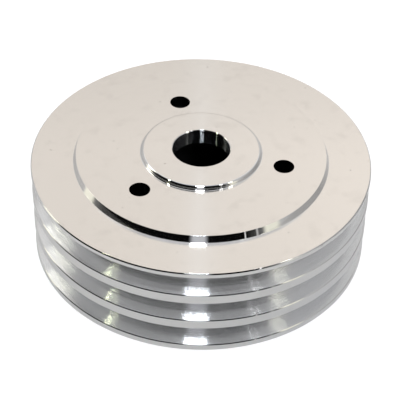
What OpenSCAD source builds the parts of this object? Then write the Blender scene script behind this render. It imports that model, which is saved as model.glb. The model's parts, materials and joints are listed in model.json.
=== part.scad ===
// Belt pulley for the nose of an engine's crankshaft, turned from one billet of aluminium.
// The shaft axis is +Z and the front face looks up. The rim's rear face stands on z = 0.

/* [Belt rim] */
// Outside diameter over the belt flanges
rim_d = 170; // [150:1:190]
// Number of belt grooves
groove_count = 3; // [1:1:4]
// Distance from one belt groove to the next
groove_pitch = 16.4; // [13:0.1:20]
// Width of a belt groove at its mouth, between sharp edges
groove_w = 11.2; // [9:0.1:12]
// Depth of a belt groove, from the flange edge to the root
groove_depth = 11; // [8:0.1:13]
// Included angle of a belt groove, in degrees
groove_angle = 36; // [30:1:40]
// Width of the flange in front of the first groove
front_flange = 2.65; // [2:0.05:10]
// Width of the flange behind the last groove
rear_flange = 3.45; // [2:0.05:10]
// Wall left between a groove's root and the hollow behind the web
rim_wall = 8; // [4:0.5:14]
// Chamfer round the rim's front face
rim_chamfer = 0.5; // [0.1:0.1:0.9]
// Chamfer on the lips of the grooves and round the rim's rear face
lip_chamfer = 0.3; // [0.1:0.1:0.9]

/* [Front face] */
// Diameter of the raised disc's face
disc_d = 125; // [104:1:130]
// Height of the raised disc above the rim's front face
disc_h = 3.25; // [1.5:0.05:6]
// Lean of the disc's side from the shaft axis, in degrees
disc_taper = 23; // [0:1:30]
// Diameter of the boss round the bore
boss_d = 60; // [46:1:68]
// Height of the boss above the raised disc
boss_h = 2.25; // [2.2:0.05:8]
// Round on the upper edge of the boss
boss_edge_r = 1.4; // [0.1:0.1:1.4]
// Fillet at the foot of the boss
boss_fillet = 0.7; // [0.1:0.1:0.8]

/* [Mounting] */
// Diameter of the pilot bore
bore_d = 28.6; // [16:0.1:36]
// Chamfer at the front mouth of the bore
bore_chamfer = 0.4; // [0.1:0.1:1.5]
// Number of mounting bolts
bolt_count = 3; // [3:1:6]
// Diameter of the circle that the mounting bolts lie on
bolt_circle_d = 84.4; // [72:0.1:98]
// Diameter of a mounting bolt hole
bolt_hole_d = 10.3; // [6:0.1:14]
// Chamfer at the rear mouth of the bore
bore_deburr = 0.3; // [0.1:0.1:0.6]

/* [Rear] */
// Thickness of the web from the rim's front face back to the mounting face
web_t = 3; // [2:0.1:12]
// Fillet between the web and the inside of the rim
hollow_fillet = 8; // [1:0.5:9]
// Chamfer at the rear edge of the hollow
hollow_chamfer = 1; // [0.2:0.1:2]

/* [Hidden] */
$fn = 180;
billet = [0.86, 0.84, 0.81];
// How far a cutter runs past the face that it opens, and an added section into what carries it
over = 1;
// How far a groove's root bites into the flanks, so that the two meet without a sliver
root_bite = 0.002;

rim_r = rim_d / 2;
disc_r = disc_d / 2;
boss_r = boss_d / 2;
bore_r = bore_d / 2;
bolt_r = bolt_hole_d / 2;
hollow_r = rim_r - groove_depth - rim_wall;

// Heights above the rim's rear face
first_groove_z = rear_flange + groove_w / 2;
last_groove_z = first_groove_z + (groove_count - 1) * groove_pitch;
rim_z = last_groove_z + groove_w / 2 + front_flange;
disc_z = rim_z + disc_h;
boss_z = disc_z + boss_h;
mounting_z = rim_z - web_t;

// Radius at the foot of the disc's tapered side
disc_foot_r = disc_r + disc_h * tan(disc_taper);

// Slope of the groove flanks, and the root radius that both of them run into
flank = groove_angle / 2;
root_r = (groove_w / 2 - groove_depth * tan(flank)) * cos(flank) / (1 - sin(flank));
root_centre_r = rim_r - groove_depth + root_r;

// Material in the corner between +X and +Y, with an arc of radius r as its free side. Turned half
// round, it is the cutter that rounds an outer corner.
module fillet_section(r)
    difference() {
        translate([-over, -over]) square(r + over);
        translate([r, r]) circle(r);
    }

// Half section of the rim's blank, with its outer edges chamfered
module rim_section()
    polygon([
        [0, 0],
        [rim_r - lip_chamfer, 0],
        [rim_r, lip_chamfer],
        [rim_r, rim_z - rim_chamfer],
        [rim_r - rim_chamfer, rim_z],
        [0, rim_z]
    ]);

// Half section of the raised disc, with a tapered side
module disc_section()
    polygon([
        [0, rim_z - over],
        [disc_foot_r, rim_z - over],
        [disc_foot_r, rim_z],
        [disc_r, disc_z],
        [0, disc_z]
    ]);

// Half section of the boss, with a rounded upper edge and a filleted foot
module boss_section() {
    difference() {
        translate([0, disc_z - over]) square([boss_r, boss_h + over]);
        translate([boss_r, boss_z]) rotate(180) fillet_section(boss_edge_r);
    }
    translate([boss_r, disc_z]) fillet_section(boss_fillet);
}

// Cutter for a belt groove centred on y = 0, with chamfered lips, straight flanks and a round root
module groove_section() {
    lip = groove_w / 2 + lip_chamfer;
    lip_slope = 1 + tan(flank);
    upper_side = [
        [rim_r + over, lip + over * lip_slope],
        [rim_r - lip_chamfer, groove_w / 2 - lip_chamfer * tan(flank)],
        [root_centre_r - root_r * sin(flank), root_r * cos(flank)]
    ];
    lower_side = [for (i = [len(upper_side) - 1 : -1 : 0]) [upper_side[i].x, -upper_side[i].y]];
    polygon(concat(upper_side, lower_side));
    translate([root_centre_r, 0]) circle(root_r + root_bite);
}

// Cutter for the hollow behind the web, with its corner filleted and its rear edge chamfered
module hollow_section() {
    difference() {
        translate([0, -over]) square([hollow_r, mounting_z + over]);
        translate([hollow_r, mounting_z]) rotate(180) fillet_section(hollow_fillet);
    }
    polygon([
        [0, -over],
        [hollow_r + hollow_chamfer + over, -over],
        [hollow_r, hollow_chamfer],
        [0, hollow_chamfer]
    ]);
}

// Cutter for the pilot bore, with both mouths chamfered
module bore_section()
    polygon([
        [0, mounting_z - over],
        [bore_r + bore_deburr + over, mounting_z - over],
        [bore_r, mounting_z + bore_deburr],
        [bore_r, boss_z - bore_chamfer],
        [bore_r + bore_chamfer + over, boss_z + over],
        [0, boss_z + over]
    ]);

// Half section of everything that is turned, with radius along X and height along Y
module turned_section()
    difference() {
        union() {
            rim_section();
            disc_section();
            boss_section();
        }
        for (i = [0 : groove_count - 1])
            translate([0, first_groove_z + i * groove_pitch]) groove_section();
        hollow_section();
        bore_section();
    }

// Cutter for a mounting bolt hole, standing on the mounting face
module bolt_hole()
    translate([0, 0, -over]) cylinder(h = disc_z - mounting_z + 2 * over, r = bolt_r);

// The whole pulley, with a bolt hole on +Y
module crank_pulley()
    color(billet) difference() {
        rotate_extrude() turned_section();
        for (i = [0 : bolt_count - 1])
            rotate(90 + i * 360 / bolt_count)
                translate([bolt_circle_d / 2, 0, mounting_z])
                    bolt_hole();
    }

crank_pulley();
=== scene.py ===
"""Looks of a turned aluminium crankshaft pulley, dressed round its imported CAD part.

Everything is in metres in the part's own frame: +Z is the shaft axis, the front face looks up and the
rim's rear face stands on z = 0.
"""

import json
import logging
import math
from collections.abc import Callable
from dataclasses import dataclass
from enum import Enum
from typing import ClassVar

import bmesh
import bpy
from mathutils import Matrix, Vector

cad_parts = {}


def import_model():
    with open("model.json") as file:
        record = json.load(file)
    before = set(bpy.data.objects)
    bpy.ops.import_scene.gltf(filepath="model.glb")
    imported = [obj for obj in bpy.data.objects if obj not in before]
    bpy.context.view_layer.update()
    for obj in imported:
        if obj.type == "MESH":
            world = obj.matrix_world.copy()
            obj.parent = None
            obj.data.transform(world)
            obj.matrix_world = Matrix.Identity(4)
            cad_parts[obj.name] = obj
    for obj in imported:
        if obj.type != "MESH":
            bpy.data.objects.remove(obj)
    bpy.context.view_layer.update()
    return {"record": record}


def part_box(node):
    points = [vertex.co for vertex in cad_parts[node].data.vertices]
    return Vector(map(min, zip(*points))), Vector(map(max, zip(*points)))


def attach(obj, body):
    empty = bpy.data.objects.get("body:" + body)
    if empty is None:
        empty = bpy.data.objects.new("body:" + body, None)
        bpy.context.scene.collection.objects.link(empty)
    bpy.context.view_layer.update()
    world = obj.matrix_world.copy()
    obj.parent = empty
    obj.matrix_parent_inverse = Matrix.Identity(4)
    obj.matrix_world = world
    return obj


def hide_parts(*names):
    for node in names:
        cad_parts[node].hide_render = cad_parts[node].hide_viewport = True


LOG = logging.getLogger("crank_pulley")
MM = 0.001
UP = Vector((0.0, 0.0, 1.0))
NODE = "crank_pulley"
BODY = "root"
SLOT = "turned_aluminium"

Colour = tuple[float, float, float]
ProfilePoint = tuple[float, float]
Socket = bpy.types.NodeSocket


class Sum(Enum):
    """Operations of Blender's Math node."""

    ADD = "ADD"
    SUBTRACT = "SUBTRACT"
    MULTIPLY = "MULTIPLY"
    DIVIDE = "DIVIDE"
    MULTIPLY_ADD = "MULTIPLY_ADD"
    POWER = "POWER"
    SQUARE_ROOT = "SQRT"
    ABSOLUTE = "ABSOLUTE"
    FRACTION = "FRACT"
    LESS_THAN = "LESS_THAN"
    GREATER_THAN = "GREATER_THAN"
    ARC_SINE = "ARCSINE"
    ARC_TANGENT = "ARCTAN2"
    DEGREES = "DEGREES"


class VectorSum(Enum):
    """Operations of Blender's Vector Math node."""

    ADD = "ADD"
    MULTIPLY_ADD = "MULTIPLY_ADD"
    CROSS = "CROSS_PRODUCT"
    DOT = "DOT_PRODUCT"
    LENGTH = "LENGTH"
    NORMALIZE = "NORMALIZE"
    SCALE = "SCALE"


def around(angle: float) -> Vector:
    """Gives the level direction at an angle round the shaft axis.

    Args:
        angle: Angle from +X in radians.

    Returns:
        A direction of length 1.
    """
    return Vector((math.cos(angle), math.sin(angle), 0.0))


def mesh_data(mesh: bmesh.types.BMesh, name: str) -> bpy.types.Mesh:
    """Stores a mesh that was being edited.

    Args:
        mesh: Edited mesh, which is freed.
        name: Name to store it under.

    Returns:
        The stored mesh.
    """
    data = bpy.data.meshes.new(name)
    mesh.to_mesh(data)
    mesh.free()
    return data


def placed(name: str, data: bpy.types.ID) -> bpy.types.Object:
    """Puts a mesh or a camera into the scene.

    Args:
        name: Name of the object.
        data: The mesh or the camera.

    Returns:
        The new object.
    """
    made = bpy.data.objects.new(name, data)
    bpy.context.scene.collection.objects.link(made)
    return made


class NodeSheet:
    """Adds nodes to a node tree and links them, so that a material reads as a list of steps.

    Attributes:
        mix_colours: Where a Mix node keeps its two colours among its inputs.
        mix_result: Where it keeps the mixed colour among its outputs.
        number_sums: Vector operations that give a number.
    """

    mix_colours: ClassVar[slice] = slice(6, 8)
    mix_result: ClassVar[int] = 2
    number_sums: ClassVar[tuple[VectorSum, ...]] = (VectorSum.DOT, VectorSum.LENGTH)

    def __init__(self, tree: bpy.types.NodeTree) -> None:
        """Clears the tree.

        Args:
            tree: Node tree of a material or of the world.
        """
        self.tree = tree
        tree.nodes.clear()

    def add(self, kind: str, **settings: object) -> bpy.types.Node:
        """Adds a node.

        Args:
            kind: Blender's name of the node type.
            settings: Properties to set on the node.

        Returns:
            The new node.
        """
        node = self.tree.nodes.new(kind)
        for name, value in settings.items():
            setattr(node, name, value)
        return node

    def feed(self, socket: Socket, source: object) -> None:
        """Sets a socket to a plain value, or links it to another node's output.

        Args:
            socket: Input socket to fill.
            source: Output socket, number, colour or vector.
        """
        if isinstance(source, Socket):
            self.tree.links.new(source, socket)
        else:
            socket.default_value = source

    def math(self, step: Sum, *inputs: object) -> Socket:
        """Adds a Math node.

        Args:
            step: Operation to do.
            inputs: Numbers or output sockets, in the node's order.

        Returns:
            Output socket with the number.
        """
        node = self.add("ShaderNodeMath", operation=step.value)
        for socket, source in zip(node.inputs, inputs):
            self.feed(socket, source)
        return node.outputs[0]

    def vector(self, step: VectorSum, *inputs: object) -> Socket:
        """Adds a Vector Math node.

        Args:
            step: Operation to do.
            inputs: Vectors or output sockets, in the node's order.

        Returns:
            Output socket with the vector, or with the number that the operation gives.
        """
        node = self.add("ShaderNodeVectorMath", operation=step.value)
        for socket, source in zip(node.inputs, inputs):
            self.feed(socket, source)
        return node.outputs["Value" if step in self.number_sums else "Vector"]

    def scaled(self, vector: Socket, factor: object) -> Socket:
        """Scales a vector.

        Args:
            vector: Output socket with the vector.
            factor: Number or output socket.

        Returns:
            Output socket with the scaled vector.
        """
        node = self.add("ShaderNodeVectorMath", operation=VectorSum.SCALE.value)
        self.feed(node.inputs[0], vector)
        self.feed(node.inputs["Scale"], factor)
        return node.outputs["Vector"]

    def mix(self, factor: object, first: object, second: object) -> Socket:
        """Mixes two colours.

        Args:
            factor: Number or output socket, 0 for the first colour and 1 for the second.
            first: Colour or output socket.
            second: Colour or output socket.

        Returns:
            Output socket with the mixed colour.
        """
        node = self.add("ShaderNodeMix", data_type="RGBA", clamp_factor=True)
        self.feed(node.inputs[0], factor)
        for socket, source in zip(node.inputs[self.mix_colours], (first, second)):
            self.feed(socket, source if isinstance(source, Socket) else (*source, 1.0))
        return node.outputs[self.mix_result]

    def smooth_step(self, value: object, low: float, high: float) -> Socket:
        """Rises smoothly from 0 to 1 while a value goes from low to high.

        Args:
            value: Output socket to read.
            low: Value at which the step starts.
            high: Value at which the step ends.

        Returns:
            Output socket with the step.
        """
        node = self.add("ShaderNodeMapRange", interpolation_type="SMOOTHSTEP", clamp=True)
        for name, source in (("Value", value), ("From Min", low), ("From Max", high)):
            self.feed(node.inputs[name], source)
        return node.outputs["Result"]

    def ramp(self, factor: Socket, stops: list[tuple[float, Colour]]) -> Socket:
        """Adds a colour ramp.

        Args:
            factor: Output socket from 0 to 1.
            stops: Places from 0 to 1 with their colours, in order.

        Returns:
            Output socket with the colour.
        """
        node = self.add("ShaderNodeValToRGB")
        elements = node.color_ramp.elements
        while len(elements) < len(stops):
            elements.new(1.0)
        for element, (place, colour) in zip(elements, stops):
            element.position = place
            element.color = (*colour, 1.0)
        self.feed(node.inputs[0], factor)
        return node.outputs[0]

    def camera_ray(self) -> Socket:
        """Gives an output socket that is 1 for rays from the camera and 0 for others."""
        return self.add("ShaderNodeLightPath").outputs["Is Camera Ray"]


@dataclass(frozen=True)
class Cut:
    """How the tool left one kind of surface.

    Attributes:
        colour: Colour of the clean metal; on the grooves' flanks and the bore's wall it also holds painted
            shade.
        roughness: Mean roughness.
        shade: Colour of the duller rings and smudges, where hands reach the surface.
        streak_slope: How far the streaks lean, in degrees.
        mark_slope: Steepest side of a single tool mark, in degrees.
        scatter: Part of the light that the surface scatters evenly, as satin metal does.
    """

    colour: Colour
    roughness: float
    shade: Colour | None = None
    streak_slope: float = 0.1
    mark_slope: float = 0.0
    scatter: float = 0.0


@dataclass(frozen=True)
class Zones:
    """What the finish knows of a point on the surface, as output sockets.

    Attributes:
        path: Distance along the turned profile.
        normal: Normal of the surface.
        tangent: Direction along the tool marks.
        level: 1 on the flat faces and 0 elsewhere.
        flank: 1 on the grooves' flanks.
        bored: 1 on the bore's wall, which takes the bore's finish and its painted shade.
        worn: How dull rings and smudges are, from 0.
        speck: 1 on specks of dirt.
    """

    path: Socket
    normal: Socket
    tangent: Socket
    level: Socket
    flank: Socket
    bored: Socket
    worn: Socket
    speck: Socket


@dataclass(frozen=True)
class TurnedAluminium:
    """Bright aluminium with fine circular tool marks: sharp along the marks and satin across them.

    Attributes:
        face: Flat faces.
        wall: Sides, rounds, chamfers and rim, which a sharper tool has cut.
        flank: Flanks of the grooves, which are cut with a coarser feed; their darker colour is partly a
            duller finish and partly painted shade in the grooves.
        bore: Wall of the bore; its colour, far darker than the metal's, is painted shade in the bore.
        roughness_spread: How far rings and handling move the roughness.
        anisotropy: How much sharper the shine is along the tool marks.
        quarter_turn: Turn from the direction of the marks to the direction across them.
        band_pitch: Mean width of the broad rings.
        streak_pitch: Mean distance between the streaks that the tool leaves.
        ring_detail: Layers of ever finer rings.
        ring_wear: How dull the broad rings are beside a smudge.
        height_stretch: Distance along the profile that a rise of 1 counts for, so that rings on walls
            differ from those on faces.
        feed: Distance between single tool marks.
        mark_power: How much of a tool mark is flat: the higher, the thinner its steep sides are.
        smudge_size: Mean width of the smudges from handling.
        smudge_range: Levels of the patches at which a smudge starts and is full.
        speck_size: Mean distance between specks of dirt.
        speck_range: Levels of the patches at which a speck starts and is full.
        speck_colour: Colour of the specks.
        patch_detail: Layers of ever finer patches.
        level_range: Upright part of the normal at which a flat face starts and is reached.
        flank_range: The same for a groove's flank.
        grooves_beyond: Radius beyond which the grooves' flanks lie.
        grooves_above: Height above which they lie.
        grooves_below: Height below which they lie.
        bored_within: Radius within which the bore's wall lies.
    """

    face: Cut = Cut(colour=(0.85, 0.828, 0.811), shade=(0.817, 0.792, 0.774), roughness=0.10, scatter=0.12)
    wall: Cut = Cut(colour=(0.90, 0.89, 0.88), shade=(0.865, 0.852, 0.84), roughness=0.05)
    # Flanks: their colour is partly a duller finish, partly painted shade in the grooves.
    flank: Cut = Cut(colour=(0.82, 0.82, 0.825), roughness=0.12, streak_slope=4.0, mark_slope=22.0)
    # Bore: its dark colour is painted shade in the bore, not the metal's own colour.
    bore: Cut = Cut(colour=(0.42, 0.43, 0.45), roughness=0.08, mark_slope=58.0)
    roughness_spread: float = 0.02
    anisotropy: float = 1.0
    quarter_turn: float = 0.25
    band_pitch: float = 5.0 * MM
    streak_pitch: float = 0.8 * MM
    ring_detail: float = 2.0
    ring_wear: float = 0.15
    height_stretch: float = 1.37
    feed: float = 0.03 * MM
    mark_power: float = 3.0
    smudge_size: float = 9.0 * MM
    smudge_range: tuple[float, float] = (0.50, 0.75)
    speck_size: float = 2.2 * MM
    speck_range: tuple[float, float] = (0.70, 0.76)
    speck_colour: Colour = (0.62, 0.60, 0.58)
    patch_detail: float = 4.0
    level_range: tuple[float, float] = (0.97, 0.995)
    flank_range: tuple[float, float] = (0.75, 0.9)
    grooves_beyond: float = 71.0 * MM
    grooves_above: float = 1.0 * MM
    grooves_below: float = 49.5 * MM
    bored_within: float = 14.4 * MM

    def material(self) -> bpy.types.Material:
        """Builds the finish.

        Returns:
            A material whose rings follow the shaft axis on faces, walls and flanks alike.
        """
        made = bpy.data.materials.new(SLOT)
        made.use_nodes = True
        sheet = NodeSheet(made.node_tree)
        zones = self.zones(sheet)
        roughness = self.blend(sheet, zones, lambda cut: cut.roughness)
        looks = {
            "Base Color": self.colours(sheet, zones),
            "Roughness": sheet.math(Sum.MULTIPLY_ADD, zones.worn, self.roughness_spread, roughness),
            "Metallic": self.blend(sheet, zones, lambda cut: 1.0 - cut.scatter),
            "Anisotropic": self.anisotropy,
            "Anisotropic Rotation": self.quarter_turn,
            "Tangent": zones.tangent,
            "Normal": self.streaked(sheet, zones),
        }
        shader = sheet.add("ShaderNodeBsdfPrincipled")
        for name, source in looks.items():
            sheet.feed(shader.inputs[name], source)
        output = sheet.add("ShaderNodeOutputMaterial")
        sheet.feed(output.inputs["Surface"], shader.outputs[0])
        return made

    def zones(self, sheet: NodeSheet) -> Zones:
        """Finds out what kind of surface a point lies on, and how worn it is there.

        Args:
            sheet: Node tree of the finish.

        Returns:
            The zones.
        """
        place = sheet.add("ShaderNodeTexCoord").outputs["Object"]
        split = sheet.add("ShaderNodeSeparateXYZ")
        sheet.feed(split.inputs[0], place)
        east, north, height = split.outputs
        squares = sheet.math(Sum.MULTIPLY_ADD, east, east, sheet.math(Sum.MULTIPLY, north, north))
        radius = sheet.math(Sum.SQUARE_ROOT, squares)
        path = sheet.math(Sum.MULTIPLY_ADD, height, self.height_stretch, radius)
        normal = sheet.add("ShaderNodeNewGeometry").outputs["Normal"]
        upright = sheet.math(Sum.ABSOLUTE, sheet.vector(VectorSum.DOT, normal, UP))
        smudge = sheet.smooth_step(self.patches(sheet, place, self.smudge_size), *self.smudge_range)
        bands = self.rings(sheet, path, self.band_pitch)
        return Zones(
            path=path,
            normal=normal,
            tangent=sheet.add("ShaderNodeTangent", direction_type="RADIAL", axis="Z").outputs[0],
            level=sheet.smooth_step(upright, *self.level_range),
            flank=self.flanks(sheet, radius, height, upright),
            bored=sheet.math(Sum.LESS_THAN, radius, self.bored_within),
            worn=sheet.math(Sum.MULTIPLY_ADD, bands, self.ring_wear, smudge),
            speck=sheet.smooth_step(self.patches(sheet, place, self.speck_size), *self.speck_range),
        )

    def flanks(self, sheet: NodeSheet, radius: Socket, height: Socket, upright: Socket) -> Socket:
        """Marks the flanks of the grooves.

        Args:
            sheet: Node tree of the finish.
            radius: Output socket with the distance from the shaft axis.
            height: Output socket with the height above the rear face.
            upright: Output socket with how far the surface's normal stands up or down, from 0 to 1.

        Returns:
            Output socket that is 1 on the flanks and 0 elsewhere.
        """
        outside = sheet.math(Sum.GREATER_THAN, radius, self.grooves_beyond)
        above = sheet.math(Sum.GREATER_THAN, height, self.grooves_above)
        below = sheet.math(Sum.LESS_THAN, height, self.grooves_below)
        grooves = sheet.math(Sum.MULTIPLY, outside, sheet.math(Sum.MULTIPLY, above, below))
        return sheet.math(Sum.MULTIPLY, grooves, sheet.smooth_step(upright, *self.flank_range))

    def blend(self, sheet: NodeSheet, zones: Zones, pick: Callable[[Cut], float]) -> Socket:
        """Runs one number of the finish over the kinds of surface.

        Args:
            sheet: Node tree of the finish.
            zones: Zones of the surface.
            pick: Gives the number for one kind of surface.

        Returns:
            Output socket with the number.
        """
        base = pick(self.wall)
        total: object = base
        for share, cut in ((zones.level, self.face), (zones.flank, self.flank), (zones.bored, self.bore)):
            total = sheet.math(Sum.MULTIPLY_ADD, share, pick(cut) - base, total)
        return total

    def colours(self, sheet: NodeSheet, zones: Zones) -> Socket:
        """Colours the metal, with rings, smudges and specks on what hands reach, and painted shade on the
        grooves' flanks and the bore's wall.

        Args:
            sheet: Node tree of the finish.
            zones: Zones of the surface.

        Returns:
            Output socket with the colour.
        """
        clean = sheet.mix(zones.level, self.wall.colour, self.face.colour)
        dull = sheet.mix(zones.level, self.wall.shade, self.face.shade)
        handled = sheet.mix(zones.speck, sheet.mix(zones.worn, clean, dull), self.speck_colour)
        # Painted shade: the grooves' flanks are coloured darker, partly also as a duller finish.
        with_painted_groove_shade = sheet.mix(zones.flank, handled, self.flank.colour)
        # Painted shade: the bore's wall is coloured far darker than the metal.
        return sheet.mix(zones.bored, with_painted_groove_shade, self.bore.colour)

    def streaked(self, sheet: NodeSheet, zones: Zones) -> Socket:
        """Tilts the surface from side to side over the tool's streaks, and over each coarse tool mark.

        Args:
            sheet: Node tree of the finish.
            zones: Zones of the surface.

        Returns:
            Output socket with the tilted normal.
        """
        across = sheet.vector(VectorSum.CROSS, zones.normal, zones.tangent)
        slope = self.blend(sheet, zones, lambda cut: 2.0 * self.rise(cut.streak_slope))
        side = sheet.math(Sum.ADD, self.rings(sheet, zones.path, self.streak_pitch), -0.5)
        place = sheet.math(Sum.FRACTION, sheet.math(Sum.DIVIDE, zones.path, self.feed))
        turn = sheet.math(Sum.MULTIPLY_ADD, place, 2.0, -1.0)
        steep = sheet.math(Sum.POWER, sheet.math(Sum.MULTIPLY, turn, turn), self.mark_power)
        steepest = self.blend(sheet, zones, lambda cut: self.rise(cut.mark_slope))
        mark = sheet.math(Sum.MULTIPLY, sheet.math(Sum.MULTIPLY, turn, steep), steepest)
        tilt = sheet.math(Sum.MULTIPLY_ADD, slope, side, mark)
        leant = sheet.vector(VectorSum.ADD, zones.normal, sheet.scaled(across, tilt))
        return sheet.vector(VectorSum.NORMALIZE, leant)

    @staticmethod
    def rise(slope: float) -> float:
        """Gives the rise of a slope over a level length of 1.

        Args:
            slope: Angle of the slope in degrees.

        Returns:
            The rise.
        """
        return math.tan(math.radians(slope))

    def rings(self, sheet: NodeSheet, path: Socket, pitch: float) -> Socket:
        """Adds uneven rings along the turned profile.

        Args:
            sheet: Node tree of the finish.
            path: Output socket with the distance along the profile.
            pitch: Mean distance between rings.

        Returns:
            Output socket from 0 to 1.
        """
        noise = sheet.add("ShaderNodeTexNoise", noise_dimensions="1D")
        sheet.feed(noise.inputs["W"], path)
        noise.inputs["Scale"].default_value = 1.0 / pitch
        noise.inputs["Detail"].default_value = self.ring_detail
        return noise.outputs["Fac"]

    def patches(self, sheet: NodeSheet, place: Socket, size: float) -> Socket:
        """Adds an uneven spread of patches, for smudges and specks.

        Args:
            sheet: Node tree of the finish.
            place: Output socket with the place on the part.
            size: Mean width of a patch.

        Returns:
            Output socket from 0 to 1.
        """
        noise = sheet.add("ShaderNodeTexNoise")
        sheet.feed(noise.inputs["Vector"], place)
        noise.inputs["Scale"].default_value = 1.0 / size
        noise.inputs["Detail"].default_value = self.patch_detail
        return noise.outputs["Fac"]


@dataclass(frozen=True)
class Corner:
    """A corner of the turned profile.

    Attributes:
        radius: Distance from the shaft axis.
        height: Height above the rim's rear face.
        bend: Radius of the arc that rounds the corner.
    """

    radius: float
    height: float
    bend: float

    def point(self) -> Vector:
        """Gives the sharp corner as a 2-D point."""
        return Vector((self.radius, self.height))


@dataclass(frozen=True)
class PulleyMounts:
    """The round interfaces of the pulley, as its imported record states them.

    Attributes:
        bore_radius: Radius of the pilot bore.
        bolt_radius: Radius of a bolt hole.
        bolt_circle_radius: Radius of the circle that the bolt holes lie on.
        bolt_count: Number of bolt holes.
        mounting_height: Height of the mounting face behind the web.
        bolt_face_height: Height of the face round the bolt holes.
    """

    bore_radius: float
    bolt_radius: float
    bolt_circle_radius: float
    bolt_count: int
    mounting_height: float
    bolt_face_height: float

    @classmethod
    def from_record(cls, record: dict) -> "PulleyMounts":
        """Reads the mounts.

        Args:
            record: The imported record.

        Returns:
            The mounts in metres.
        """
        mounts = {mount["name"]: mount for mount in record["mounts"]}
        bolts = mounts["mounting_bolts"]["dims"]
        return cls(
            bore_radius=mounts["pilot_bore"]["dims"]["r_mm"] * MM,
            bolt_radius=bolts["hole_r_mm"] * MM,
            bolt_circle_radius=bolts["pcd_mm"] * MM / 2,
            bolt_count=int(bolts["count"]),
            mounting_height=mounts["mounting_face"]["pos_m"][2],
            bolt_face_height=mounts["bolt_head_face"]["pos_m"][2],
        )


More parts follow.
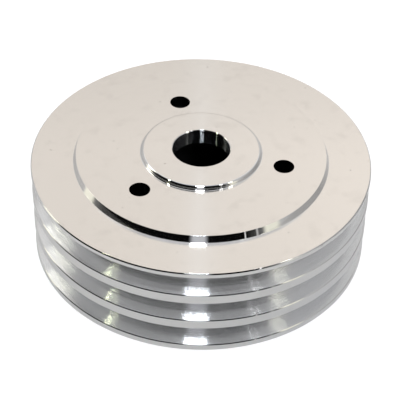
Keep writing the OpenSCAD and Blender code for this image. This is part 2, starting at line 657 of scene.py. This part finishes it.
@dataclass
class CrankPulley:
    """The pulley as one turned and drilled mesh.

    Attributes:
        mounts: Round interfaces from the record.
        finish: Finish of the metal.
        rim_radius: Radius over the belt flanges.
        top: Height of the boss's face.
        groove_count: Number of belt grooves.
        groove_pitch: Distance from one groove to the next.
        groove_width: Width of a groove at its mouth.
        groove_depth: Depth of a groove.
        groove_angle: Included angle of a groove in degrees.
        front_flange: Width of the flange in front of the first groove.
        rear_flange: Width of the flange behind the last groove.
        rim_wall: Wall between a groove's root and the hollow.
        rim_chamfer: Chamfer round the rim's front face.
        lip_chamfer: Chamfer on the lips of the grooves and round the rim's rear face.
        disc_radius: Radius of the raised disc's face.
        disc_taper: Lean of the disc's side from the shaft axis, in degrees.
        boss_radius: Radius of the boss.
        boss_edge: Round on the boss's upper edge.
        boss_fillet: Fillet at the foot of the boss.
        bore_chamfer: Chamfer at the front mouth of the bore.
        bore_deburr: Chamfer at the rear mouth of the bore.
        hollow_fillet: Fillet between the web and the rim.
        hollow_chamfer: Chamfer at the rear edge of the hollow.
        edge_break: Round that a sharp edge keeps from deburring.
        sides: Steps round the shaft axis.
        hole_sides: Steps round a bolt hole.
        drill_overrun: How far the drill for the bolt holes runs past the faces.
        arc_step: Largest turn between points of an arc, in degrees.
        edge_hold: Distance from an arc to the loop that keeps the face beside it flat.
        sharp_from: Turn between two faces from which the edge is shaded sharp, in degrees.
    """

    mounts: PulleyMounts
    finish: TurnedAluminium
    rim_radius: float
    top: float
    groove_count: int = 3
    groove_pitch: float = 16.4 * MM
    groove_width: float = 11.2 * MM
    groove_depth: float = 11.0 * MM
    groove_angle: float = 36.0
    front_flange: float = 2.65 * MM
    rear_flange: float = 3.45 * MM
    rim_wall: float = 8.0 * MM
    rim_chamfer: float = 0.5 * MM
    lip_chamfer: float = 0.3 * MM
    disc_radius: float = 62.5 * MM
    disc_taper: float = 23.0
    boss_radius: float = 30.0 * MM
    boss_edge: float = 1.4 * MM
    boss_fillet: float = 0.7 * MM
    bore_chamfer: float = 0.4 * MM
    bore_deburr: float = 0.3 * MM
    hollow_fillet: float = 8.0 * MM
    hollow_chamfer: float = 1.0 * MM
    edge_break: float = 0.06 * MM
    sides: int = 288
    hole_sides: int = 72
    drill_overrun: float = 1.0 * MM
    arc_step: float = 16.0
    edge_hold: float = 0.1 * MM
    sharp_from: float = 30.0

    @property
    def rim_height(self) -> float:
        """Height of the rim's front face."""
        grooves = self.groove_width + (self.groove_count - 1) * self.groove_pitch
        return self.rear_flange + grooves + self.front_flange

    def corners(self) -> list[Corner]:
        """Lists the corners of the turned profile, from the rear of the bore out round the rim.

        Returns:
            Corners in order, as a closed outline.
        """
        rim, face = self.rim_radius, self.mounts.bolt_face_height
        back, bore = self.mounts.mounting_height, self.mounts.bore_radius
        hollow = rim - self.groove_depth - self.rim_wall
        cut, lip, edge = self.rim_chamfer, self.lip_chamfer, self.edge_break
        foot = self.disc_radius + (face - self.rim_height) * math.tan(math.radians(self.disc_taper))
        rear = [
            Corner(bore, back + self.bore_deburr, edge),
            Corner(bore + self.bore_deburr, back, edge),
            Corner(hollow, back, self.hollow_fillet),
            Corner(hollow, self.hollow_chamfer, edge),
            Corner(hollow + self.hollow_chamfer, 0.0, edge),
            Corner(rim - lip, 0.0, edge),
            Corner(rim, lip, edge),
        ]
        grooves = [corner for index in range(self.groove_count) for corner in self.groove_corners(index)]
        front = [
            Corner(rim, self.rim_height - cut, edge),
            Corner(rim - cut, self.rim_height, edge),
            Corner(foot, self.rim_height, edge),
            Corner(self.disc_radius, face, edge),
            Corner(self.boss_radius, face, self.boss_fillet),
            Corner(self.boss_radius, self.top, self.boss_edge),
            Corner(bore + self.bore_chamfer, self.top, edge),
            Corner(bore, self.top - self.bore_chamfer, edge),
        ]
        return rear + grooves + front

    def groove_corners(self, index: int) -> list[Corner]:
        """Lists the corners of one belt groove.

        Args:
            index: Number of the groove, from the rear.

        Returns:
            Corners from the rear lip over the root to the front lip.
        """
        centre = self.rear_flange + self.groove_width / 2 + index * self.groove_pitch
        flank = math.radians(self.groove_angle / 2)
        half, rim, cut = self.groove_width / 2, self.rim_radius, self.lip_chamfer
        apex = rim - half / math.tan(flank)
        root_half = half - self.groove_depth * math.tan(flank)
        root_bend = root_half * math.cos(flank) / (1 - math.sin(flank))
        lip, throat = half + cut, half - cut * math.tan(flank)
        return [
            Corner(rim, centre - lip, self.edge_break),
            Corner(rim - cut, centre - throat, self.edge_break),
            Corner(apex, centre, root_bend),
            Corner(rim - cut, centre + throat, self.edge_break),
            Corner(rim, centre + lip, self.edge_break),
        ]

    def profile(self) -> list[ProfilePoint]:
        """Rounds the corners, and holds the straight runs between them with a loop close to each arc.

        Returns:
            Points of the closed outline, in order.
        """
        corners = self.corners()
        points: list[ProfilePoint] = []
        for index, corner in enumerate(corners):
            before, after = corners[index - 1], corners[(index + 1) % len(corners)]
            points.extend(self.rounded(before.point(), corner, after.point()))
        return points

    def rounded(self, before: Vector, corner: Corner, after: Vector) -> list[ProfilePoint]:
        """Rounds one corner.

        Args:
            before: Sharp corner before it.
            corner: Corner to round.
            after: Sharp corner after it.

        Returns:
            Points of the arc, with a holding point on the straight run at each end.
        """
        here = corner.point()
        back, on = (before - here).normalized(), (after - here).normalized()
        half_angle = math.acos(max(-1.0, min(1.0, back.dot(on)))) / 2
        reach = corner.bend / math.tan(half_angle)
        centre = here + (back + on).normalized() * corner.bend / math.sin(half_angle)
        start = here + back * reach - centre
        turn = math.pi - 2 * half_angle
        if back.x * on.y - back.y * on.x > 0:
            turn = -turn
        steps = max(2, math.ceil(math.degrees(abs(turn)) / self.arc_step))
        arc = [centre + Matrix.Rotation(turn * step / steps, 2) @ start for step in range(steps + 1)]
        hold = min(self.edge_hold, self.room(before, here, reach), self.room(after, here, reach))
        held = [here + back * (reach + hold), *arc, here + on * (reach + hold)]
        return [(point.x, point.y) for point in held]

    @staticmethod
    def room(end: Vector, here: Vector, reach: float) -> float:
        """Gives the room for a holding point between an arc and the middle of the straight run.

        Args:
            end: Sharp corner at the run's other end.
            here: Sharp corner that the arc rounds.
            reach: Length of the run that the arc takes.

        Returns:
            A third of what is left of the run's half.
        """
        return max((end - here).length / 2 - reach, 0.0) / 3

    def turned_mesh(self) -> bpy.types.Mesh:
        """Turns the profile round the shaft axis.

        Returns:
            A closed mesh.
        """
        outline = self.profile()
        mesh = bmesh.new()
        rings = []
        for side in range(self.sides):
            across = around(2 * math.pi * side / self.sides)
            rings.append([mesh.verts.new(across * radius + UP * height) for radius, height in outline])
        for side, ring in enumerate(rings):
            following = rings[(side + 1) % self.sides]
            for index in range(len(outline)):
                nearer = index - 1
                mesh.faces.new((ring[nearer], following[nearer], following[index], ring[index]))
        bmesh.ops.recalc_face_normals(mesh, faces=mesh.faces)
        return mesh_data(mesh, NODE)

    def build(self) -> bpy.types.Object:
        """Turns, drills and dresses the pulley, and stands it for its CAD node.

        Returns:
            The pulley's object.
        """
        pulley = placed("pulley", self.turned_mesh())
        self.drill(pulley)
        pulley.data.shade_smooth()
        pulley.data.set_sharp_from_angle(angle=math.radians(self.sharp_from))
        pulley.data.materials.clear()
        pulley.data.materials.append(self.finish.material())
        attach(pulley, BODY)
        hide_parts(NODE)
        return pulley

    def drill(self, pulley: bpy.types.Object) -> None:
        """Cuts the bolt holes.

        Args:
            pulley: The turned pulley.
        """
        cutter = placed("drill", self.drill_mesh())
        cut = pulley.modifiers.new("bolt_holes", "BOOLEAN")
        cut.operation = "DIFFERENCE"
        cut.solver = "EXACT"
        cut.object = cutter
        depsgraph = bpy.context.evaluated_depsgraph_get()
        drilled = bpy.data.meshes.new_from_object(pulley.evaluated_get(depsgraph))
        pulley.modifiers.clear()
        pulley.data = drilled
        bpy.data.objects.remove(cutter)

    def drill_mesh(self) -> bpy.types.Mesh:
        """Makes one drill for all bolt holes.

        Returns:
            A closed mesh with a pin at each hole.
        """
        mounts, sides, overrun = self.mounts, self.hole_sides, self.drill_overrun
        heights = (mounts.mounting_height - overrun, mounts.bolt_face_height + overrun)
        spokes = [around(2 * math.pi * side / sides) * mounts.bolt_radius for side in range(sides)]
        mesh = bmesh.new()
        for index in range(mounts.bolt_count):
            angle = math.pi / 2 + 2 * math.pi * index / mounts.bolt_count
            centre = around(angle) * mounts.bolt_circle_radius
            lower, upper = (
                [mesh.verts.new(centre + spoke + UP * height) for spoke in spokes] for height in heights
            )
            for side in range(sides):
                after = (side + 1) % sides
                mesh.faces.new((lower[side], lower[after], upper[after], upper[side]))
            mesh.faces.new(list(reversed(lower)))
            mesh.faces.new(upper)
        bmesh.ops.recalc_face_normals(mesh, faces=mesh.faces)
        return mesh_data(mesh, "drill")


@dataclass(frozen=True)
class Lens:
    """The camera, as solved from the ellipses in the photograph.

    Attributes:
        bearing: Angle of the camera's place round the shaft axis, from +X, in degrees.
        elevation: Angle of the view above the horizon in degrees.
        roll: Turn of the picture about the line of sight in degrees.
        distance: Distance to the middle of the rim's front face, along the line of sight.
        aside: Shift of the rim's middle to the picture's right.
        above: Shift of the rim's middle to the picture's top.
        focal_pixels: Focal length in pixels of the picture.
        picture: Side of the square picture in pixels.
        sensor: Side of the sensor in millimetres.
        nearest: Distance from which things are seen.
    """

    bearing: float = 253.9
    elevation: float = 40.865
    roll: float = -1.447
    distance: float = 688.0 * MM
    aside: float = 0.582 * MM
    above: float = 21.77 * MM
    focal_pixels: float = 1374.0
    picture: float = 400.0
    sensor: float = 36.0
    nearest: float = 10.0 * MM

    def towards(self) -> Vector:
        """Gives the level direction from the pulley to the camera."""
        return around(math.radians(self.bearing))

    def rightwards(self) -> Vector:
        """Gives the level direction to the camera's right."""
        return UP.cross(self.towards())

    def build(self, target: Vector) -> bpy.types.Object:
        """Makes the camera and hands it to the scene.

        Args:
            target: Middle of the rim's front face.

        Returns:
            The camera.
        """
        lift, roll = math.radians(self.elevation), math.radians(self.roll)
        back = self.towards() * math.cos(lift) + UP * math.sin(lift)
        level = self.rightwards()
        above = back.cross(level)
        right = level * math.cos(roll) - above * math.sin(roll)
        up = level * math.sin(roll) + above * math.cos(roll)
        data = bpy.data.cameras.new("camera")
        data.sensor_width = self.sensor
        data.lens = self.focal_pixels / self.picture * self.sensor
        data.clip_start = self.nearest
        camera = placed("camera", data)
        place = target + back * self.distance - right * self.aside - up * self.above
        turn = Matrix((right, up, back)).transposed()
        camera.matrix_world = Matrix.Translation(place) @ turn.to_4x4()
        bpy.context.scene.camera = camera
        return camera


STRIP_WHITE: Colour = (0.94, 0.99, 1.05)
COOL_WHITE: Colour = (0.96, 0.98, 1.04)
WARM_WHITE: Colour = (1.0, 0.93, 0.85)
NEUTRAL: Colour = (1.0, 1.0, 1.0)
DAYLIGHT: Colour = (1.0, 0.96, 0.91)
WINDOW_WHITE: Colour = (1.0, 0.99, 0.86)
LAMP_YELLOW: Colour = (0.94, 1.0, 0.70)


@dataclass(frozen=True)
class WallStop:
    """The light of the room's walls at one azimuth.

    Attributes:
        azimuth: Angle from the camera to the right in degrees.
        level: Brightness.
        colour: Colour of the light.
    """

    azimuth: float
    level: float
    colour: Colour = NEUTRAL


@dataclass(frozen=True)
class Panel:
    """A soft light or a bright gap in the room.

    Its place is given by two angles: how far it stands aside of the upright plane through the camera and
    the pulley, and how far it stands up in that plane, from the horizon behind the camera over the zenith.

    Attributes:
        aside: Angle of its middle to the right in degrees.
        low: Angle up to its lower end in degrees.
        high: Angle up to its upper end in degrees.
        width: Width at its lower end in degrees.
        level: Brightness.
        colour: Colour of its light.
        taper: How much narrower its upper end is, in degrees.
        lean: How far its upper end stands to the right of its lower end, in degrees.
        fade: Width of its soft edge in degrees.
    """

    aside: float
    low: float
    high: float
    width: float
    level: float
    colour: Colour = NEUTRAL
    taper: float = 0.0
    lean: float = 0.0
    fade: float = 1.0

    def glow(self, sheet: NodeSheet, aside: Socket, up: Socket) -> Socket:
        """Adds the panel's light.

        Args:
            sheet: Node tree of the world.
            aside: Output socket with the angle aside of a direction in degrees.
            up: Output socket with the angle up of a direction in degrees.

        Returns:
            Output socket with the brightness of the panel in that direction.
        """
        span, soft = self.high - self.low, self.fade / 2
        rise = sheet.math(Sum.MULTIPLY_ADD, up, 1 / span, -self.low / span)
        middle = sheet.math(Sum.MULTIPLY_ADD, rise, self.lean, self.aside - self.lean / 2)
        half = sheet.math(Sum.MULTIPLY_ADD, rise, -self.taper / 2, self.width / 2)
        distance = sheet.math(Sum.ABSOLUTE, sheet.math(Sum.SUBTRACT, aside, middle))
        sides = sheet.smooth_step(sheet.math(Sum.SUBTRACT, distance, half), soft, -soft)
        bottom = sheet.smooth_step(up, self.low - soft, self.low + soft)
        top = sheet.smooth_step(up, self.high + soft, self.high - soft)
        inside = sheet.math(Sum.MULTIPLY, sides, sheet.math(Sum.MULTIPLY, bottom, top))
        return sheet.math(Sum.MULTIPLY, inside, self.level)


@dataclass(frozen=True)
class Studio:
    """A pale floor in a room with light walls, dark towards the camera.

    Attributes:
        lens: Camera that the room is laid out from.
        panels: Soft lights and bright gaps.
        upper_walls: Light of the upper part of the walls, round the room.
        lower_walls: Light of the lower part of the walls, round the room.
        upper_edge: Elevations where the lower walls start to run into the upper ones and have done so,
            in degrees.
        ceiling: Brightness of the ceiling.
        front_ceiling: Brightness of the ceiling on the camera's side.
        front_edge: Where one starts to run into the other and has done so, as parts of a direction
            towards the camera.
        ceiling_edge: Elevations where the walls start to run into the ceiling and have done so, in degrees.
        floor_colour: Colour of the floor.
        floor_size: Side of the floor.
        floor_lift: Light that the floor adds towards the camera, so that it reads as white.
        painted_shade_colour: Painted shade: near-black colour of the floor under the pulley.
        painted_shade_edge: Distances from the shaft axis where that painted shade starts to end and has
            ended.
    """

    lens: Lens
    panels: tuple[Panel, ...] = (
        # Strip lamp overhead, and the pale wall below it
        Panel(aside=-0.4, low=64.0, high=89.0, width=10.2, taper=5.6, level=34.0, colour=STRIP_WHITE),
        Panel(
            aside=-0.2, low=-5.0, high=64.0, width=12.0, taper=2.0, level=0.55, colour=COOL_WHITE, fade=5.0
        ),
        # Window and narrow lamp on the left
        Panel(aside=-47.0, low=106.0, high=126.0, width=20.0, level=3.2, colour=WINDOW_WHITE, fade=5.0),
        Panel(
            aside=-36.3, low=66.0, high=88.0, width=3.0, lean=13.3, level=14.0, colour=LAMP_YELLOW, fade=0.8
        ),
        # Window and thin gaps on the right
        Panel(
            aside=36.0, low=60.0, high=84.0, width=6.0, lean=-11.0, level=4.2, colour=WINDOW_WHITE, fade=2.0
        ),
        Panel(aside=33.2, low=-2.0, high=54.0, width=0.8, lean=-7.4, level=0.9, fade=0.5),
        Panel(aside=24.2, low=54.0, high=88.0, width=0.9, lean=-10.5, level=4.0, fade=0.5),
        Panel(aside=21.0, low=60.0, high=88.0, width=1.2, lean=-8.0, level=4.0, fade=0.5),
        # Warm patch on the far wall
        Panel(aside=6.0, low=137.0, high=150.0, width=11.0, level=0.045, colour=WARM_WHITE, fade=3.0),
    )
    upper_walls: tuple[WallStop, ...] = (
        WallStop(-180.0, 0.88, DAYLIGHT),
        WallStop(-178.6, 0.845, WARM_WHITE),
        WallStop(-172.0, 0.81, WARM_WHITE),
        WallStop(-136.0, 0.88),
        WallStop(-120.0, 0.40),
        WallStop(-104.0, 0.12),
        WallStop(-84.0, 0.002),
        WallStop(37.0, 0.002),
        WallStop(51.0, 0.15),
        WallStop(60.0, 0.55),
        WallStop(117.0, 0.56),
        WallStop(134.0, 0.62),
        WallStop(150.0, 0.79),
        WallStop(169.0, 0.93, WARM_WHITE),
        WallStop(173.0, 0.88, WARM_WHITE),
        WallStop(176.0, 0.845, WARM_WHITE),
        WallStop(178.6, 0.845, WARM_WHITE),
        WallStop(180.0, 0.88, DAYLIGHT),
    )
    lower_walls: tuple[WallStop, ...] = (
        WallStop(-180.0, 0.62, WARM_WHITE),
        WallStop(-146.0, 0.50),
        WallStop(-110.0, 0.55),
        WallStop(-108.0, 1.08, WINDOW_WHITE),
        WallStop(-98.0, 1.08, WINDOW_WHITE),
        WallStop(-94.0, 0.12),
        WallStop(-84.0, 0.002),
        WallStop(37.0, 0.002),
        WallStop(45.0, 0.05),
        WallStop(46.0, 0.80),
        WallStop(47.0, 0.08),
        WallStop(51.0, 0.15),
        WallStop(54.0, 0.85, WINDOW_WHITE),
        WallStop(64.0, 0.85, WINDOW_WHITE),
        WallStop(68.0, 0.50),
        WallStop(82.0, 0.38),
        WallStop(117.0, 0.33),
        WallStop(134.0, 0.46),
        WallStop(150.0, 0.60),
        WallStop(180.0, 0.62, WARM_WHITE),
    )
    upper_edge: tuple[float, float] = (30.0, 39.0)
    ceiling: float = 0.65
    front_ceiling: float = 0.12
    front_edge: tuple[float, float] = (0.03, 0.2)
    ceiling_edge: tuple[float, float] = (60.0, 80.0)
    floor_colour: Colour = (0.55, 0.54, 0.54)
    floor_size: float = 540.0 * MM
    floor_lift: float = 0.52
    painted_shade_colour: Colour = (0.01, 0.01, 0.01)
    painted_shade_edge: tuple[float, float] = (78.0 * MM, 84.0 * MM)

    def build(self) -> None:
        """Makes the room and the floor."""
        bpy.context.scene.view_settings.view_transform = "Standard"
        self.room()
        self.floor()

    def room(self) -> None:
        """Lights the world as a room, with a white backdrop for the camera alone."""
        world = bpy.data.worlds.new("room")
        world.use_nodes = True
        bpy.context.scene.world = world
        sheet = NodeSheet(world.node_tree)
        way = sheet.add("ShaderNodeTexCoord").outputs["Generated"]
        axes = (self.lens.rightwards(), self.lens.towards(), UP)
        right, near, up = (sheet.vector(VectorSum.DOT, way, axis) for axis in axes)
        bearing = sheet.math(Sum.ARC_TANGENT, right, near)
        turn = sheet.math(Sum.MULTIPLY_ADD, bearing, 1 / (2 * math.pi), 0.5)
        parts = (self.lower_walls, self.upper_walls)
        lower, upper = (self.wall_light(sheet, turn, stops) for stops in parts)
        walls = sheet.mix(self.height_step(sheet, up, *self.upper_edge), lower, upper)
        above = self.height_step(sheet, up, *self.ceiling_edge)
        seen = sheet.mix(above, walls, self.ceiling_light(sheet, near))
        aside = sheet.math(Sum.DEGREES, sheet.math(Sum.ARC_SINE, right))
        over = sheet.math(Sum.DEGREES, sheet.math(Sum.ARC_TANGENT, up, near))
        for panel in self.panels:
            seen = sheet.vector(VectorSum.MULTIPLY_ADD, panel.glow(sheet, aside, over), panel.colour, seen)
        background = sheet.add("ShaderNodeBackground")
        sheet.feed(background.inputs["Color"], sheet.mix(sheet.camera_ray(), seen, NEUTRAL))
        output = sheet.add("ShaderNodeOutputWorld")
        sheet.feed(output.inputs["Surface"], background.outputs[0])

    @staticmethod
    def height_step(sheet: NodeSheet, up: Socket, low: float, high: float) -> Socket:
        """Rises from 0 to 1 between two elevations.

        Args:
            sheet: Node tree of the world.
            up: Output socket with the upward part of a direction.
            low: Elevation at which the step starts, in degrees.
            high: Elevation at which the step ends, in degrees.

        Returns:
            Output socket with the step.
        """
        start, end = (math.sin(math.radians(angle)) for angle in (low, high))
        return sheet.smooth_step(up, start, end)

    @staticmethod
    def wall_light(sheet: NodeSheet, turn: Socket, walls: tuple[WallStop, ...]) -> Socket:
        """Adds the light of the walls.

        Args:
            sheet: Node tree of the world.
            turn: Output socket with the azimuth of a direction, as a part of a turn from the far side.
            walls: Light of the walls, round the room.

        Returns:
            Output socket with the colour.
        """
        peak = max(stop.level for stop in walls)
        stops = [
            (stop.azimuth / 360 + 0.5, tuple(stop.level / peak * part for part in stop.colour))
            for stop in walls
        ]
        return sheet.scaled(sheet.ramp(turn, stops), peak)

    def ceiling_light(self, sheet: NodeSheet, near: Socket) -> Socket:
        """Adds the light of the ceiling.

        Args:
            sheet: Node tree of the world.
            near: Output socket with the part of a direction towards the camera.

        Returns:
            Output socket with the colour.
        """
        front = sheet.smooth_step(near, *self.front_edge)
        light, shade = (
            tuple(level * part for part in COOL_WHITE) for level in (self.ceiling, self.front_ceiling)
        )
        return sheet.mix(front, light, shade)

    def floor(self) -> bpy.types.Object:
        """Lays the floor under the pulley.

        Returns:
            The floor.
        """
        mesh = bmesh.new()
        bmesh.ops.create_grid(mesh, x_segments=1, y_segments=1, size=self.floor_size / 2)
        floor = placed("floor", mesh_data(mesh, "floor"))
        floor.data.materials.append(self.floor_paper())
        return floor

    def floor_paper(self) -> bpy.types.Material:
        """Builds the floor's finish.

        Returns:
            Matt paper that reads as white to the camera, with painted shade, near black, under the pulley.
        """
        made = bpy.data.materials.new("floor_paper")
        made.use_nodes = True
        sheet = NodeSheet(made.node_tree)
        place = sheet.add("ShaderNodeTexCoord").outputs["Object"]
        # Painted shade: the floor is near black under the pulley, and the camera lift stops there.
        outside_painted_shade = sheet.smooth_step(sheet.vector(VectorSum.LENGTH, place), *self.painted_shade_edge)
        matt = sheet.add("ShaderNodeBsdfDiffuse")
        sheet.feed(matt.inputs["Color"], sheet.mix(outside_painted_shade, self.painted_shade_colour, self.floor_colour))
        glow = sheet.add("ShaderNodeEmission")
        lift = sheet.math(Sum.MULTIPLY, sheet.camera_ray(), self.floor_lift)
        sheet.feed(glow.inputs["Strength"], sheet.math(Sum.MULTIPLY, lift, outside_painted_shade))
        both = sheet.add("ShaderNodeAddShader")
        for socket, shader in zip(both.inputs, (matt, glow)):
            sheet.feed(socket, shader.outputs[0])
        output = sheet.add("ShaderNodeOutputMaterial")
        sheet.feed(output.inputs["Surface"], both.outputs[0])
        return made


def main() -> None:
    """Builds the pulley, the studio and the camera, and reports each piece."""
    logging.basicConfig(level=logging.INFO, format="%(name)s: %(message)s")
    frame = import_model()
    _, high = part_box(NODE)
    pulley = CrankPulley(
        mounts=PulleyMounts.from_record(frame["record"]),
        finish=TurnedAluminium(),
        rim_radius=high.x,
        top=high.z,
    )
    made = pulley.build()
    LOG.info("%s: %d faces on body %s", made.name, len(made.data.polygons), BODY)
    lens = Lens()
    lens.build(target=UP * pulley.rim_height)
    Studio(lens).build()
    LOG.info("studio: floor, room and camera")


if __name__ == "__main__":
    main()
